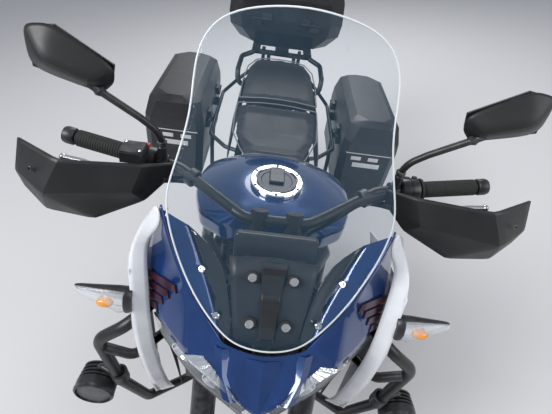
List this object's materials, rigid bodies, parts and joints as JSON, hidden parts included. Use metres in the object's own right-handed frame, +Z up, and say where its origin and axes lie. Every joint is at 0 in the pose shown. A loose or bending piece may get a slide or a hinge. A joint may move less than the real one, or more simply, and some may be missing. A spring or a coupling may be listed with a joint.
{
  "type": "adventure motorcycle",
  "caption": "Adventure touring motorcycle on its side stand, with luggage cases, a tall clear screen, hand guards and crash bars; wheels, steering, stand and lids move.",
  "frame": {"origin": "on the ground, in the middle of the parked machine's bounding box", "axes": "+Y to the rear of the machine, +X to its left, +Z up; the machine leans to its left onto the side stand"},
  "size_m": [1.0384, 2.2855, 1.3948],
  "materials": {
    "tyre": "dull black rubber with a road tread",
    "rubber": "dull black",
    "wheel_black": "satin black cast aluminium",
    "disc_steel": "brushed",
    "fork_metal": "dark anodised sleeves, bright tubes",
    "dark_metal": "black powder coat",
    "engine_metal": "cast, dark grey",
    "exhaust_steel": "brushed stainless steel",
    "black_plastic": "grained black",
    "case_plastic": "grained dark grey",
    "blue_paint": "deep metallic blue, glossy",
    "white_paint": "pearl white, glossy",
    "chrome": "polished",
    "clear_screen": "clear acrylic",
    "lamp_glass": "clear lens over a bright reflector",
    "seat_cover": "black grained cover"
  },
  "bodies": {
    "chassis": {"belly_pan": "black_plastic", "chain": "disc_steel", "crash_bars": "dark_metal", "dash": "black_plastic", "engine": "engine_metal", "exhaust": "exhaust_steel", "filler_ring": "chrome", "footrests": "dark_metal", "front_indicators": "black_plastic", "fuel_tank": "blue_paint", "headlights": "lamp_glass", "hugger": "black_plastic", "inner_panels": "black_plastic", "main_frame": "dark_metal", "nose_cowl": "blue_paint", "pannier_left": "case_plastic", "pannier_right": "case_plastic", "pillion_seat": "seat_cover", "radiator": "dark_metal", "rear_fender": "black_plastic", "rear_subframe": "dark_metal", "rider_seat": "seat_cover", "screen_panel": "black_plastic", "shock": "dark_metal", "spot_lamps": "black_plastic", "swingarm": "dark_metal", "tail_cover": "black_plastic", "top_case": "case_plastic", "windscreen": "clear_screen", "wing_panels": "white_paint"},
    "steering": {"fork": "fork_metal", "triple_clamps": "dark_metal", "handlebar": "dark_metal", "grips": "rubber", "hand_controls": "black_plastic", "handguards": "black_plastic", "mirrors": "black_plastic", "front_fender": "black_plastic", "front_calipers": "dark_metal"},
    "front_wheel": {"front_tyre": "tyre", "front_rim": "wheel_black", "front_discs": "disc_steel"},
    "rear_wheel": {"rear_tyre": "tyre", "rear_rim": "wheel_black", "rear_disc": "disc_steel", "rear_sprocket": "disc_steel"},
    "side_stand": {"side_stand": "dark_metal"},
    "pannier_lid_left": {"pannier_lid_left": "case_plastic"},
    "pannier_lid_right": {"pannier_lid_right": "case_plastic"},
    "top_case_lid": {"top_case_lid": "case_plastic"},
    "tank_cap": {"tank_cap": "chrome"}
  },
  "joints": [
    {"name": "steering_turn", "type": "hinge", "parent": "chassis", "child": "steering", "pos_m": [0.01423, -0.54783, 0.85638], "axis": [0.1496, 0.4226, 0.8939], "range_deg": [-32, 32]},
    {"name": "front_wheel_turn", "type": "hinge", "parent": "steering", "child": "front_wheel", "pos_m": [-0.07949, -0.8445, 0.29635], "axis": [0.9863, 0, -0.165], "continuous": true},
    {"name": "rear_wheel_turn", "type": "hinge", "parent": "chassis", "child": "rear_wheel", "pos_m": [-0.07751, 0.5705, 0.30818], "axis": [0.9863, 0, -0.165], "continuous": true},
    {"name": "side_stand_fold", "type": "hinge", "parent": "chassis", "child": "side_stand", "pos_m": [0.07239, -0.067, 0.2466], "axis": [0.9725, 0, 0.233], "range_deg": [0, 100]},
    {"name": "pannier_lid_left_open", "type": "hinge", "parent": "chassis", "child": "pannier_lid_left", "pos_m": [0.25056, -0.137, 0.6994], "axis": [0, 1, 0], "range_deg": [-55, 0]},
    {"name": "pannier_lid_right_open", "type": "hinge", "parent": "chassis", "child": "pannier_lid_right", "pos_m": [-0.26033, -0.137, 0.7849], "axis": [0, 1, 0], "range_deg": [0, 55]},
    {"name": "top_case_lid_open", "type": "hinge", "parent": "chassis", "child": "top_case_lid", "pos_m": [0.04793, 0.739, 1.05776], "axis": [0.9863, 0, -0.165], "range_deg": [0, 80]},
    {"name": "tank_cap_open", "type": "hinge", "parent": "chassis", "child": "tank_cap", "pos_m": [0.03918, -0.334, 1.00549], "axis": [0.9863, 0, -0.165], "range_deg": [0, 90]}
  ]
}
